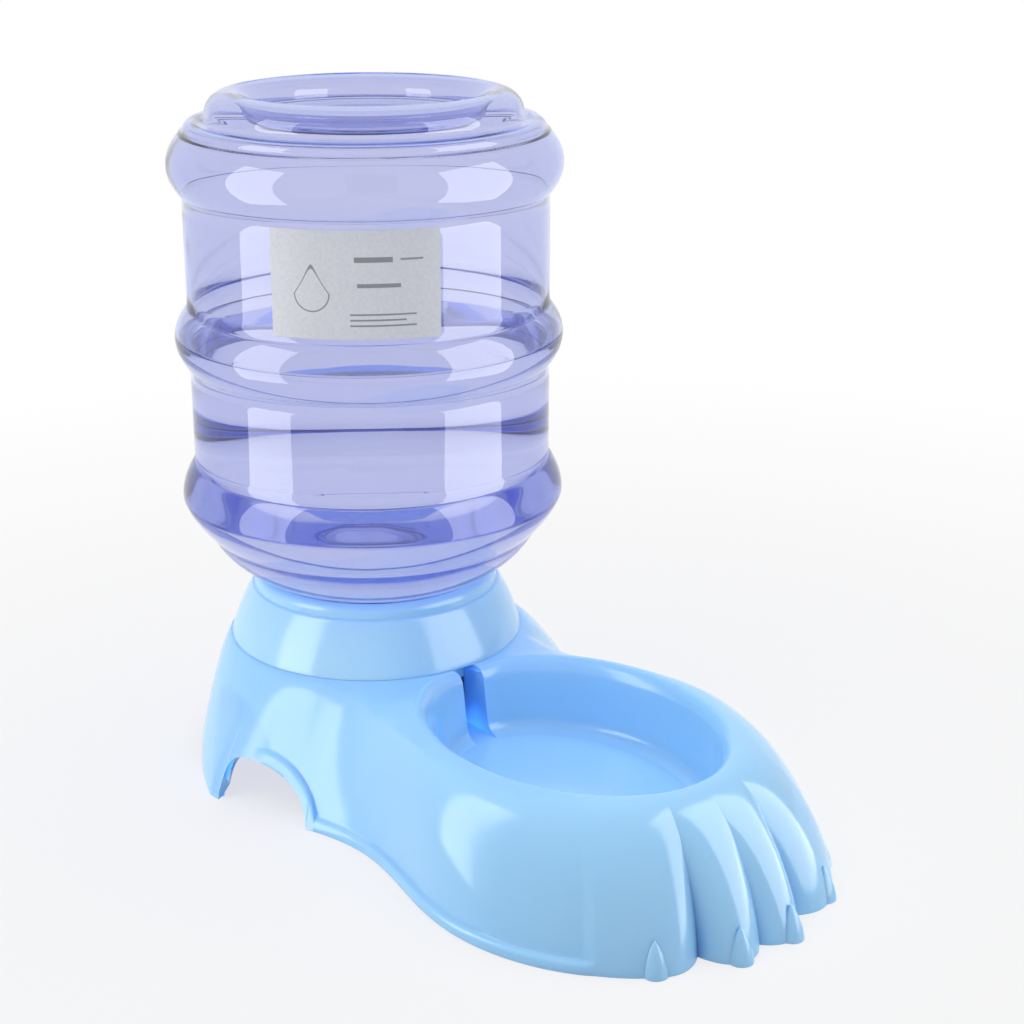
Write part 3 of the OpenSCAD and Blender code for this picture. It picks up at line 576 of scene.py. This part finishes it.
def base_sheet():
    """Points and faces of the base's wall: the right half, its mirror image and the inside."""
    columns = base_columns()
    half = np.array([base_column(c) for c in columns])
    fans = [i for i, c in enumerate(columns) if c[3] is not None]
    margin = 14  # columns beyond the fans that are softened too
    soften(half, (fans[0] - margin, fans[-1] + margin),
           (len(LIP_ROWS), len(LIP_ROWS) + SKIRT_ROWS + CREST_ROWS), passes=40)
    left = half[-2:0:-1].copy()
    left[:, :, 0] *= -1
    loop = np.concatenate([half, left])
    n, rows = loop.shape[:2]
    along = np.roll(loop, -1, 0) - np.roll(loop, 1, 0)
    first = len(LIP_ROWS) - 1
    up = np.zeros_like(loop)
    for j in range(rows):
        up[:, j] = loop[:, min(rows - 1, j + 1)] - loop[:, max(first, j - 1) if j > first else max(0, j - 1)]
    normal = np.cross(along, up)
    normal /= np.maximum(1e-6, np.linalg.norm(normal, axis=2, keepdims=True))
    normal[:, -1] = (0, 0, 1)
    inner_rows = [first] + list(range(first + 4, rows - 1, 4)) + [rows - 1]
    inner = loop[:, inner_rows] - BASE_WALL * normal[:, inner_rows]
    edge = inner[:, :1].copy()
    edge[:, :, 2] = loop[:, :1, 2]
    # Each column of the sheet runs from the pocket's floor over the outside round to the inside
    sheet = np.concatenate([loop[:, ::-1], edge, inner], axis=1)
    total = sheet.shape[1]
    points = [(p[0], AXIS_Y - p[1], p[2]) for column in sheet for p in column]
    faces = []
    for i in range(n):
        k = (i + 1) % n
        for j in range(total - 1):
            faces.append((i * total + j, i * total + j + 1, k * total + j + 1, k * total + j))
    # Flat floors between the right and the left half
    for row, flip in ((0, False), (total - 1, True)):
        for i in range(half.shape[0] - 1):
            loop_ids = [i, i + 1, (n - i - 1) % n, (n - i) % n]
            face = [v * total + row for m, v in enumerate(loop_ids) if v != loop_ids[m - 1]]
            if len(face) > 2:
                faces.append(face if flip else face[::-1])
    return points, faces


def claw(x, tip):
    """A claw: half sunk in its toe, with a pointed top."""
    points, faces = [], []
    m, levels = 24, 12
    for t in (k / levels for k in range(levels + 1)):
        r = CLAW_W / 2 * (1 - 0.94 * t**1.7) * (1 if t < 1 else 0.4)
        for i in range(m):
            a = 360 * i / m
            points.append((x + r * sin(a), AXIS_Y - tip + CLAW_W / 2 - r * cos(a) + 0.8 * t, CLAW_H * t))
    for k in range(levels):
        for i in range(m):
            j = (i + 1) % m
            faces.append((k * m + i, k * m + j, (k + 1) * m + j, (k + 1) * m + i))
    faces.append(list(range(m))[::-1])
    faces.append([levels * m + i for i in range(m)])
    return points, faces


def post():
    """The post that opens the valve, with a rounded foot and top."""
    foot, edge = 2, 0.8  # radii of the roundings
    top = DISH_FLOOR + POST_H
    profile = [(POST_R + foot, DISH_FLOOR - 1)]
    profile += [(POST_R + foot - foot * cos(a), DISH_FLOOR + foot - foot * sin(a))
                for a in range(90, -1, -15)]
    profile += [(POST_R - edge + edge * cos(a), top - edge + edge * sin(a)) for a in range(0, 91, 15)]
    profile += [(0, top)]
    return lathe(profile, 48, closed=False)


def paw_base():
    """The shell with its claws and the post, as one piece."""
    points, faces = base_sheet()
    outer = (GROOVE_X + TOE_EDGE_X) / 2
    extras = []
    for side in (-1, 1):
        extras += [claw(side * GROOVE_X / 2, FRONT_REACH), claw(side * outer, front_at(outer) + CLAW_OUT)]
    for more_points, more_faces in extras + [post()]:
        shift = len(points)
        points += more_points
        faces += [[v + shift for v in face] for face in more_faces]
    obj = build("paw_base", points, faces, base_blue, "base", ["base_shell"])
    sharpen(obj, 50)


paw_base()


# ---------------------------------------------------------------- jug
BOWL_R, BOWL_TOP, BOWL_H = BODY_R - 1.6, RINGS[0][0] - 2, 42.0
LOW_START = RINGS[0][0] - RINGS[0][1]


def bowl_at(z):
    """Radius of the jug's shoulder bowl at that height."""
    return BOWL_R * (1 - ((BOWL_TOP - z) / BOWL_H) ** 2) ** (1 / 2.6)


def bowl_z(r):
    """Height of the bowl at that radius."""
    return BOWL_TOP - BOWL_H * math.sqrt(1 - (r / BOWL_R) ** 2.6)


def wall_r(z):
    """Radius of the jug's wall with its three rings."""
    r = BODY_R - (BODY_R - bowl_at(LOW_START)) * max(0.0, RINGS[0][0] - z) / RINGS[0][1]
    for middle, half in RINGS:
        u = (z - middle) / half
        if abs(u) < 1:
            r += RING_OUT * cos(90 * u) ** 0.8
    return r


def ring_points(middle, half, n):
    """Points of the wall over one ring, closer together at its ends."""
    return [(wall_r(z), z) for z in (middle - half * cos(180 * i / n) for i in range(n + 1))]


def jug_outline():
    """Outside of the jug as (r, z), from its mouth below to the middle of its sunk top."""
    neck_top = bowl_z(NECK_R + 3)
    points = [(NECK_R - 0.3, MOUTH_Z), (NECK_R, MOUTH_Z + 0.3)]
    points += [(NECK_R, mix(MOUTH_Z + 0.6, neck_top - 3, k / 60)) for k in range(61)]
    points += [(NECK_R + 3 * (1 - cos(a)), neck_top - 3 + 3 * sin(a)) for a in range(15, 91, 15)]
    points += [(bowl_at(z), z) for z in (mix(neck_top, LOW_START, (i / 24) ** 1.5) for i in range(1, 25))]
    for middle, half in RINGS:
        ring = ring_points(middle, half, 36)
        if points[-1][1] > ring[0][1] - 1e-6:
            ring = ring[1:]
        else:
            a, b = points[-1], ring[0]
            points += [(mix(a[0], b[0], k / 8), mix(a[1], b[1], k / 8)) for k in range(1, 8)]
        points += ring
    points += [(BODY_R, RINGS[2][0] + RINGS[2][1] + 0.6)]
    points += [(BODY_R - 6 + 4.5 * cos(a), RIM_Z - 16 + 4.5 * sin(a)) for a in range(0, 91, 10)]
    points += [(RIM_R + 12, RIM_Z - 11.45), (RIM_R + 10.5, RIM_Z - 11)]
    points += [(RIM_R + 10 * cos(a) * (1 if a < 90 else 0.8), RIM_Z - 9 + 9 * sin(a))
               for a in range(0, 181, 6)]
    points += [(RIM_R - 8.6, RIM_Z - 10.2), (RIM_R - 10, RIM_Z - 11), (RIM_R - 13, RIM_Z - 11.7)]
    points += [(mix(RIM_R - 13, 0, k / 10), RIM_Z - 11.7 - 0.8 * ease(k / 10)) for k in range(1, 11)]
    return points


def offset(profile, distance):
    """The profile moved inwards along its normals."""
    out = []
    for i, p in enumerate(profile):
        a, b = profile[max(0, i - 1)], profile[min(len(profile) - 1, i + 1)]
        d = np.array([b[0] - a[0], b[1] - a[1]])
        d /= max(1e-9, np.linalg.norm(d))
        out.append((max(0.0, p[0] - d[1] * distance), p[1] + d[0] * distance))
    return out


OUTLINE = jug_outline()
INSIDE = offset(OUTLINE, JUG_WALL)
INSIDE[-1] = (0.0, OUTLINE[-1][1] - JUG_WALL)
INSIDE[0] = (NECK_R - JUG_WALL, MOUTH_Z)
INSIDE[1] = (NECK_R - JUG_WALL, MOUTH_Z + 0.3)


def neck_thread(k, angle, r, z):
    """The neck's right-hand thread: a ridge that winds up the outside of the neck."""
    if k >= len(OUTLINE) or abs(r - NECK_R) > 1e-6:
        return r
    z0 = MOUTH_Z + THREAD_START
    best = 0.0
    # The lathe's angle runs from the toes, and the thread starts on +X
    turn = ((angle - 90) % 360) / 360
    for lap in range(3):
        t = turn + lap
        if t > THREAD_TURNS:
            break
        e = min(1.0, min(t, THREAD_TURNS - t) * 8)
        d = abs(z - (z0 + THREAD_PITCH * t))
        best = max(best, THREAD_DEPTH * ease(clamp((THREAD_HALF - d) / THREAD_FLANK)) * ease(e))
    return r + best


def jug_shell():
    points, faces = lathe(OUTLINE + INSIDE[::-1], radius_at=neck_thread)
    build("jug_shell", points, faces, jug_clear, "jug", ["bottle"])


jug_shell()

# Water: it fills the jug to the middle ring, and overlaps the wall's inside a little, so that no
# film of air shows between them
WATER_Z = 186.0
WATER_LAP = 0.25


def water():
    wet = [(r + (WATER_LAP if r > 0 else 0), z) for r, z in offset(OUTLINE, JUG_WALL) if z < WATER_Z - 0.8]
    wet[0] = (NECK_R - JUG_WALL - 0.2, MOUTH_Z + 0.5)
    wet = [wet[0]] + [p for p in wet[1:] if p[1] > MOUTH_Z + 0.6]
    r_top = wall_r(WATER_Z) - JUG_WALL + WATER_LAP
    surface = [(r_top, WATER_Z + 0.5), (r_top - 0.6, WATER_Z + 0.15), (r_top - 1.6, WATER_Z),
               (r_top - 12, WATER_Z - 0.1), (0, WATER_Z - 0.1)]
    profile = [(0, MOUTH_Z + 0.5)] + wet + surface
    points, faces = lathe(profile, closed=False)
    build("water_fill", points, faces, water_clear, "jug")


water()


# ---------------------------------------------------------------- collar
def collar_ring():
    """The domed ring with its seat for the jug and the spigot in the well."""
    top = BASE_H + COLLAR_H
    step = top - 5.5

    def dome(z):
        d = z - BASE_H
        return COLLAR_R - 0.25 * d - 0.0075 * d * d

    rim = dome(step) - 1.2
    outer = [(COLLAR_R - 0.5, BASE_H + 0.02), (COLLAR_R - 0.12, BASE_H + 0.15)]
    outer += [(dome(z), z) for z in (mix(BASE_H + 0.6, step - 0.5, k / 30) for k in range(31))]
    outer += [(dome(step) - 0.15, step - 0.1), (dome(step) - 0.5, step)]
    outer += [(rim + 0.25, step + 0.05), (rim, step + 0.3)]
    outer += [(rim - 3 + 3 * cos(a), top - 3 + 3 * sin(a)) for a in range(0, 91, 9)]
    seat = [(r, bowl_z(r) - 0.5) for r in (mix(rim - 4.2, SEAT_R + 1, k / 18) for k in range(19))]
    low = bowl_z(SEAT_R) - 0.5
    seat += [(SEAT_R + 0.2, low - 0.2), (SEAT_R, low - 0.7), (SEAT_R, low - 4),
             (SEAT_R + COLLAR_WALL, low - 4), (SEAT_R + COLLAR_WALL, step - 3)]
    inside = [mix(step - 3, BASE_H + COLLAR_WALL, k / 12) for k in range(13)]
    under = [(dome(z) - COLLAR_WALL, z) for z in inside]
    spigot = WELL_R - 0.3
    under += [(spigot - COLLAR_WALL, BASE_H + COLLAR_WALL), (spigot - COLLAR_WALL, BASE_H - SPIGOT_H),
              (spigot - 0.4, BASE_H - SPIGOT_H), (spigot, BASE_H - SPIGOT_H + 0.5), (spigot, BASE_H + 0.02)]
    points, faces = lathe(outer + seat + under)
    obj = build("collar_ring", points, faces, collar_blue, "base", ["collar"])
    sharpen(obj, 40)


collar_ring()


# ---------------------------------------------------------------- label
def paper():
    """White paper with a faint drop and ruled lines, drawn from the mesh's own map."""
    material, tree, shader, _ = new_material("label_paper")
    uv = add(tree, "ShaderNodeUVMap", {"uv_map": "face"})
    split = add(tree, "ShaderNodeSeparateXYZ")
    tree.links.new(uv.outputs[0], split.inputs[0])

    def op(kind, *operands):
        node = add(tree, "ShaderNodeMath", {"operation": kind})
        for slot_id, item in enumerate(operands):
            if isinstance(item, (int, float)):
                node.inputs[slot_id].default_value = item
            else:
                tree.links.new(item, node.inputs[slot_id])
        return node.outputs[0]

    x, y = split.outputs[0], split.outputs[1]  # millimetres from the label's lower left corner

    def box(x0, x1, y0, y1):
        inside = op("MULTIPLY", op("GREATER_THAN", x, x0), op("LESS_THAN", x, x1))
        return op("MULTIPLY", inside, op("MULTIPLY", op("GREATER_THAN", y, y0), op("LESS_THAN", y, y1)))

    # Drop outline: a circle that narrows to a point at the top
    cx, cy, r = 17.0, 18.0, 7.0
    dx, dy = op("SUBTRACT", x, cx), op("SUBTRACT", y, cy)
    lift = op("MAXIMUM", op("MULTIPLY", dy, 0.1), 0.0)
    across = op("MULTIPLY", op("ABSOLUTE", dx), op("ADD", 1.0, lift))
    upward = op("MULTIPLY", op("ABSOLUTE", dy), op("SUBTRACT", 1.0, op("MULTIPLY", lift, 0.32)))
    dist = op("SQRT", op("ADD", op("POWER", across, 2.0), op("POWER", upward, 2.0)))
    line = op("LESS_THAN", op("ABSOLUTE", op("SUBTRACT", dist, r)), 0.28)
    ring = op("MULTIPLY", line, op("LESS_THAN", y, 34.0))
    marks = [ring, box(34, 49, 30.5, 32.6), box(52, 61, 31.2, 32.0), box(35, 52, 20.6, 22.2)]
    marks += [box(32, 58 - 4 * (k % 2), 9.6 - 2.2 * k, 10.3 - 2.2 * k) for k in range(3)]
    ink = marks[0]
    for m in marks[1:]:
        ink = op("MAXIMUM", ink, m)
    fibre = noise_between(tree, 700.0, 0.0, 1.0, detail=4.0)
    sheet_colour = colour_between(tree, fibre, (0.72, 0.73, 0.77), (0.66, 0.67, 0.72))
    tint = add(tree, "ShaderNodeMix", {"data_type": "RGBA"})
    tint.inputs[7].default_value = (0.10, 0.10, 0.13, 1)
    tree.links.new(sheet_colour, tint.inputs[6])
    tree.links.new(op("MULTIPLY", ink, 0.75), tint.inputs[0])
    tree.links.new(tint.outputs[2], shader.inputs["Base Color"])
    shader.inputs["Roughness"].default_value = 0.5
    add_bump(tree, shader, 900.0, 0.00002)
    return material


def label():
    """A sheet of paper round the jug, with a map in millimetres for its print."""
    half = math.degrees(LABEL_W / 2 / BODY_R)
    nx, nz, points, uvs = 64, 8, [], []
    for r in (BODY_R + 0.26, BODY_R + 0.06):
        for i in range(nx + 1):
            # The angle runs from the toes towards the left side, so the print reads from left to right
            a = LABEL_TURN + half - 2 * half * i / nx
            for j in range(nz + 1):
                points.append((-r * sin(a), AXIS_Y - r * cos(a), LABEL_Z - LABEL_H / 2 + LABEL_H * j / nz))
                uvs.append((LABEL_W * i / nx, LABEL_H * j / nz))
    faces, row, back = [], nz + 1, (nx + 1) * (nz + 1)
    for i in range(nx):
        for j in range(nz):
            a = i * row + j
            faces.append((a, a + row, a + row + 1, a + 1))
            faces.append((back + a + 1, back + a + row + 1, back + a + row, back + a))
    for i in range(nx):
        a, b = i * row, i * row + nz
        faces.append((back + a, back + a + row, a + row, a))
        faces.append((b, b + row, back + b + row, back + b))
    for j in range(nz):
        a, b = j, nx * row + j
        faces.append((a, a + 1, back + a + 1, back + a))
        faces.append((back + b, back + b + 1, b + 1, b))
    obj = build("jug_label", points, faces, paper(), "jug", ["bottle_label"], smooth=False)
    layer = obj.data.uv_layers.new(name="face")
    for loop in obj.data.loops:
        layer.data[loop.index].uv = uvs[loop.vertex_index]


label()


# ---------------------------------------------------------------- cap, gasket and valve
def dress(node, material):
    """Gives a node of the CAD its material, and joins its faces' shared points."""
    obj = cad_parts[node]
    obj.data.materials.clear()
    obj.data.materials.append(material)
    weld = obj.modifiers.new("weld", "WELD")
    weld.merge_threshold = 1e-6
    return obj


for node, material, width in (("screw_cap", cap_white, 0.25), ("cap_gasket", rubber, 0.2),
                              ("valve_stem", cap_white, 0.25), ("valve_seal", rubber, 0.2),
                              ("valve_cage", cap_white, 0.2)):
    bevel = dress(node, material).modifiers.new("bevel", "BEVEL")
    bevel.width = width * MM
    bevel.segments = 2
    bevel.limit_method = "ANGLE"
    bevel.angle_limit = math.radians(40)
smoother = dress("valve_spring", steel).modifiers.new("smooth", "SUBSURF")
smoother.levels = smoother.render_levels = 2


# ---------------------------------------------------------------- floor, backdrop and light
# Share of plain white in the floor near the object; the rest is lit, and holds the shadow
FLOOR_LIFT = 0.68
FLOOR_HALF = 6.0  # metres


def seen_directly(tree):
    """1 for a ray from the camera, from a reflection or through glass, and 0 for one that lights."""
    path = add(tree, "ShaderNodeLightPath")
    result = path.outputs["Is Camera Ray"]
    for name in ("Is Glossy Ray", "Is Transmission Ray"):
        either = add(tree, "ShaderNodeMath", {"operation": "MAXIMUM"})
        tree.links.new(result, either.inputs[0])
        tree.links.new(path.outputs[name], either.inputs[1])
        result = either.outputs[0]
    return result


def backdrop_material():
    """Pale floor: white to the camera and in reflections, and plain to the light, so it keeps the shadow."""
    material, tree, shader, output = new_material("floor_pale")
    shader.inputs["Base Color"].default_value = (0.85, 0.85, 0.86, 1)
    shader.inputs["Roughness"].default_value = 0.7
    coords = add(tree, "ShaderNodeTexCoord")
    length = add(tree, "ShaderNodeVectorMath", {"operation": "LENGTH"})
    tree.links.new(coords.outputs["Object"], length.inputs[0])
    far = add(tree, "ShaderNodeMapRange", {"interpolation_type": "SMOOTHSTEP"},
              From_Min=0.25, From_Max=0.75, To_Min=FLOOR_LIFT, To_Max=1.0)
    tree.links.new(length.outputs["Value"], far.inputs["Value"])
    seen = seen_directly(tree)
    share = add(tree, "ShaderNodeMath", {"operation": "MULTIPLY"})
    tree.links.new(seen, share.inputs[0])
    tree.links.new(far.outputs["Result"], share.inputs[1])
    glow = add(tree, "ShaderNodeEmission", Color=(1, 1, 1, 1), Strength=1.0)
    blend = add(tree, "ShaderNodeMixShader")
    tree.links.new(share.outputs[0], blend.inputs[0])
    tree.links.new(shader.outputs[0], blend.inputs[1])
    tree.links.new(glow.outputs[0], blend.inputs[2])
    tree.links.new(blend.outputs[0], output.inputs["Surface"])
    return material


floor_mesh = bpy.data.meshes.new("floor")
corners = [(x * FLOOR_HALF, y * FLOOR_HALF, 0) for x, y in ((-1, -1), (1, -1), (1, 1), (-1, 1))]
floor_mesh.from_pydata(corners, [], [(0, 1, 2, 3)])
floor_mesh.materials.append(backdrop_material())
floor = bpy.data.objects.new("floor", floor_mesh)
scene.collection.objects.link(floor)

world = bpy.data.worlds.new("world")
scene.world = world
world.use_nodes = True
tree = world.node_tree
tree.nodes.clear()
world_out = add(tree, "ShaderNodeOutputWorld")
dim = add(tree, "ShaderNodeBackground", Color=(0.97, 0.98, 1.0, 1), Strength=0.45)
white = add(tree, "ShaderNodeBackground", Color=(1, 1, 1, 1), Strength=1.0)
which = add(tree, "ShaderNodeMixShader")
tree.links.new(seen_directly(tree), which.inputs[0])
tree.links.new(dim.outputs[0], which.inputs[1])
tree.links.new(white.outputs[0], which.inputs[2])
tree.links.new(which.outputs[0], world_out.inputs["Surface"])

CENTRE = Vector((0, AXIS_Y, 130)) * MM

# Two soft boxes stand close by, left and right of the camera. Each is a pair of lamps in one place: a
# box that shows in the gloss alone and a glow that lights alone, so both have a level of their own.
BOX_AT = Vector((0, AXIS_Y, 242)) * MM
BOX_DISTANCE, BOX_HEIGHT, BOX_LEVEL = 0.33, 0.48, 4.3
SOFT_BOXES = (("left", -57, 0.17, 3.3), ("right", 65, 0.24, 2.0))  # side, azimuth, width, glow's level

# The lamps close by would leave bright patches on the floor, so they light all but the floor
all_but_floor = bpy.data.collections.new("all_but_floor")
all_but_floor.objects.link(floor)
all_but_floor.collection_objects[0].light_linking.link_state = "EXCLUDE"


def lamp(name, azimuth, elevation, distance, width, height, level, target=CENTRE, reflects=True, lights=True):
    """A soft box of an even brightness. The azimuth runs to the photo's right from the camera's side.

    It can show in the gloss alone, with lights off, or light alone, with reflects off.
    """
    data = bpy.data.lights.new(name, "AREA")
    data.shape = "RECTANGLE"
    data.size, data.size_y = width, height
    data.energy = math.pi * width * height * level
    obj = bpy.data.objects.new(name, data)
    side = -AWAY * cos(azimuth) + RIGHT * sin(azimuth)
    obj.location = target + (side * cos(elevation) + Vector((0, 0, sin(elevation)))) * distance
    obj.rotation_euler = (target - obj.location).to_track_quat("-Z", "Y").to_euler()
    obj.visible_camera = obj.visible_transmission = False
    obj.visible_glossy, obj.visible_diffuse = reflects, lights
    scene.collection.objects.link(obj)
    return obj


def near_lamp(name, azimuth, width, level, **shows):
    """One lamp of a soft box."""
    obj = lamp(name, azimuth, 0, BOX_DISTANCE, width, BOX_HEIGHT, level, target=BOX_AT, **shows)
    obj.light_linking.receiver_collection = all_but_floor


for side, azimuth, width, _ in SOFT_BOXES:
    near_lamp("box_" + side, azimuth, width, BOX_LEVEL, lights=False)
for side, azimuth, width, level in SOFT_BOXES:
    near_lamp("glow_" + side, azimuth, width, level, reflects=False)
# The key and the top lamp stand further away and light alone
lamp("key", -60, 60, 1.6, 1.0, 1.0, 1.6, reflects=False)
lamp("top", 150, 75, 1.7, 1.4, 1.4, 2.2, reflects=False)

scene.view_settings.view_transform = "Standard"
scene.cycles.max_bounces = 32
scene.cycles.glossy_bounces = 16
scene.cycles.transmission_bounces = 32
scene.cycles.transparent_max_bounces = 16
